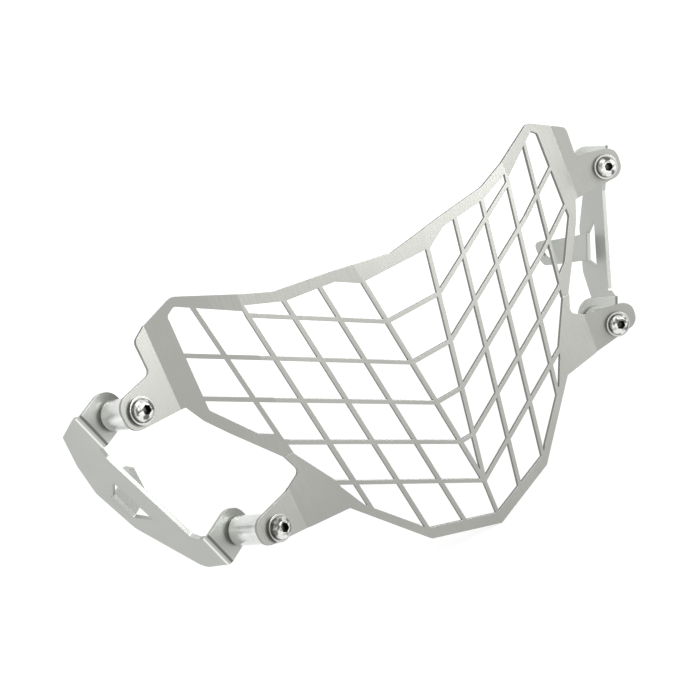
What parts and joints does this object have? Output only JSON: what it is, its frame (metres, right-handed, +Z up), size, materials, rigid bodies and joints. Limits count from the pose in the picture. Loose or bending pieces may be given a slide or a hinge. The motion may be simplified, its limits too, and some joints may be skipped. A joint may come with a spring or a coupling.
{
  "type": "motorcycle headlight guard",
  "caption": "Folded sheet grille shaped like a shield, held in front of a motorcycle headlight by bolts and spacers on folded side brackets.",
  "frame": {"origin": "midway between the two coaxial side bolt holes in the bracket flanges", "axes": "+X to the right as seen from in front of the motorcycle, +Y backwards, +Z up"},
  "size_m": [0.324, 0.0855, 0.1652],
  "materials": {
    "grille_metal": "satin, fine blasted",
    "bracket_metal": "satin",
    "spacer_metal": "turned",
    "washer_metal": "bright",
    "screw_metal": "polished stainless",
    "nut_metal": "bright"
  },
  "bodies": {
    "root": {"guard_grille": "grille_metal", "left_bracket": "bracket_metal", "right_bracket": "bracket_metal", "upper_left_screw": "screw_metal", "upper_left_front_washer": "washer_metal", "upper_left_spacer": "spacer_metal", "upper_left_rear_washer": "washer_metal", "upper_left_nut": "nut_metal", "upper_right_screw": "screw_metal", "upper_right_front_washer": "washer_metal", "upper_right_spacer": "spacer_metal", "upper_right_rear_washer": "washer_metal", "upper_right_nut": "nut_metal", "lower_left_screw": "screw_metal", "lower_left_front_washer": "washer_metal", "lower_left_spacer": "spacer_metal", "lower_left_rear_washer": "washer_metal", "lower_left_nut": "nut_metal", "lower_right_screw": "screw_metal", "lower_right_front_washer": "washer_metal", "lower_right_spacer": "spacer_metal", "lower_right_rear_washer": "washer_metal", "lower_right_nut": "nut_metal"}
  },
  "joints": []
}
